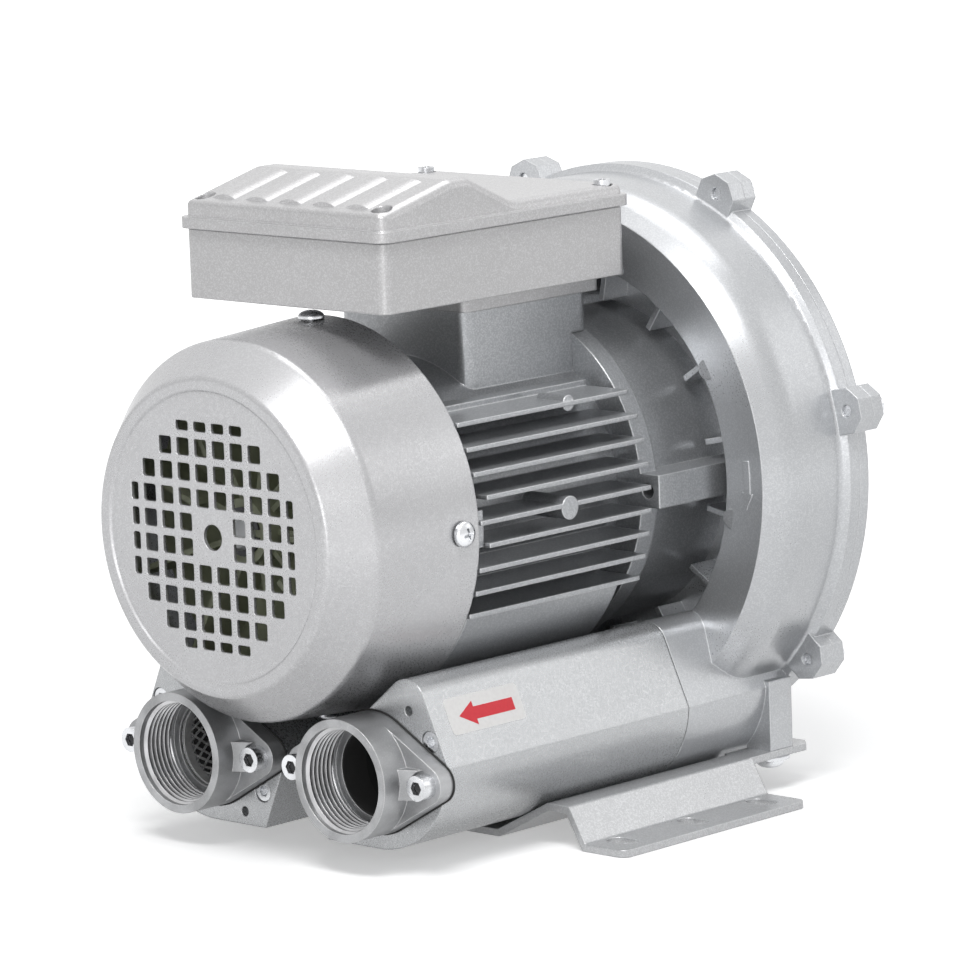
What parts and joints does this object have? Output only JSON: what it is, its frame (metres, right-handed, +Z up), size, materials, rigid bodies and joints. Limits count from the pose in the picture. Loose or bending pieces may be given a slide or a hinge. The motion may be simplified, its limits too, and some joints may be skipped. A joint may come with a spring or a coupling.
{
  "type": "side channel blower",
  "caption": "Side channel blower: finned motor with vented fan cover and terminal box, ring-shaped blower housing, two silencers with threaded port flanges, foot bracket.",
  "frame": {"origin": "centre of the foot hole pattern, on the underside of the foot bracket", "axes": "+Z up; +X towards the outlet side; -Y out of the ports and the fan end, +Y towards the blower housing; the motor axis is parallel to Y, 131.4 mm up"},
  "size_m": [0.2557, 0.276, 0.2643],
  "materials": {
    "silver_paint": "fine metallic silver paint on cast and pressed aluminium",
    "box_paint": "warmer metallic grey paint on cast aluminium",
    "bracket_paint": "satin metallic paint on bent sheet steel",
    "cast_aluminium": "blasted die-cast aluminium",
    "zinc_steel": "bright zinc-plated steel",
    "ground_steel": "ground bearing steel",
    "dark_steel": "phosphated spring steel",
    "mesh_steel": "expanded steel mesh",
    "laminations": "varnished electrical steel",
    "copper_winding": "enamelled copper wire, varnished",
    "bearing_brass": "stamped brass",
    "green_plastic": "olive green moulded plastic",
    "black_rubber": "black rubber",
    "black_foam": "open-cell black foam",
    "moulded_board": "moulded phenolic",
    "capacitor_can": "pale plastic can",
    "gland_plastic": "grey moulded nylon"
  },
  "bodies": {
    "frame": {"fan_cover": "silver_paint", "fan_cover_screws": "zinc_steel", "rear_end_shield": "cast_aluminium", "rear_shield_screws": "zinc_steel", "motor_frame": "silver_paint", "stator_core": "laminations", "stator_winding": "copper_winding", "rear_bearing_outer": "ground_steel", "front_bearing_outer": "ground_steel", "preload_spring": "dark_steel", "drive_end_shield": "silver_paint", "flange_screws": "zinc_steel", "shaft_seal": "black_rubber", "blower_housing": "silver_paint", "housing_cover": "silver_paint", "cover_bolts": "zinc_steel", "outlet_silencer": "silver_paint", "inlet_silencer": "silver_paint", "outlet_foam": "black_foam", "inlet_foam": "black_foam", "inlet_mesh_tube": "mesh_steel", "outlet_silencer_gasket": "black_rubber", "inlet_silencer_gasket": "black_rubber", "silencer_screws": "zinc_steel", "outlet_flange": "cast_aluminium", "inlet_flange": "cast_aluminium", "flange_gaskets": "black_rubber", "flange_bolts": "zinc_steel", "foot_bracket": "bracket_paint", "foot_screws": "zinc_steel", "box_collar": "silver_paint", "terminal_box": "box_paint", "lid_gasket": "black_rubber", "terminal_lid": "box_paint", "lid_screws": "zinc_steel", "box_screws": "zinc_steel", "earth_screw": "bearing_brass", "terminal_block": "moulded_board", "terminal_studs": "bearing_brass", "terminal_nuts": "bearing_brass", "run_capacitor": "capacitor_can", "capacitor_clip": "zinc_steel", "cable_gland": "gland_plastic", "gland_nut": "gland_plastic", "gland_seal": "black_rubber", "blanking_plug": "gland_plastic"},
    "rotor": {"shaft": "ground_steel", "rotor_core": "laminations", "cooling_fan": "green_plastic", "fan_retaining_ring": "dark_steel", "rear_bearing_inner": "ground_steel", "front_bearing_inner": "ground_steel", "impeller": "cast_aluminium", "impeller_key": "ground_steel", "impeller_washer": "zinc_steel", "impeller_screw": "zinc_steel"},
    "rear_ball_cage": {"rear_bearing_balls": "ground_steel", "rear_bearing_cage": "bearing_brass"},
    "front_ball_cage": {"front_bearing_balls": "ground_steel", "front_bearing_cage": "bearing_brass"}
  },
  "joints": [
    {"name": "rotor_spin", "type": "hinge", "parent": "frame", "child": "rotor", "pos_m": [0, 0, 0.13141], "axis": [0, 1, 0], "continuous": true},
    {"name": "rear_cage_spin", "type": "hinge", "parent": "frame", "child": "rear_ball_cage", "pos_m": [0, -0.1008, 0.13141], "axis": [0, 1, 0], "continuous": true},
    {"name": "front_cage_spin", "type": "hinge", "parent": "frame", "child": "front_ball_cage", "pos_m": [0, 0.0472, 0.13141], "axis": [0, 1, 0], "continuous": true}
  ],
  "couplings": [
    {"joint": "rear_cage_spin", "follows": "rotor_spin", "ratio": 0.3772},
    {"joint": "front_cage_spin", "follows": "rotor_spin", "ratio": 0.3836}
  ]
}
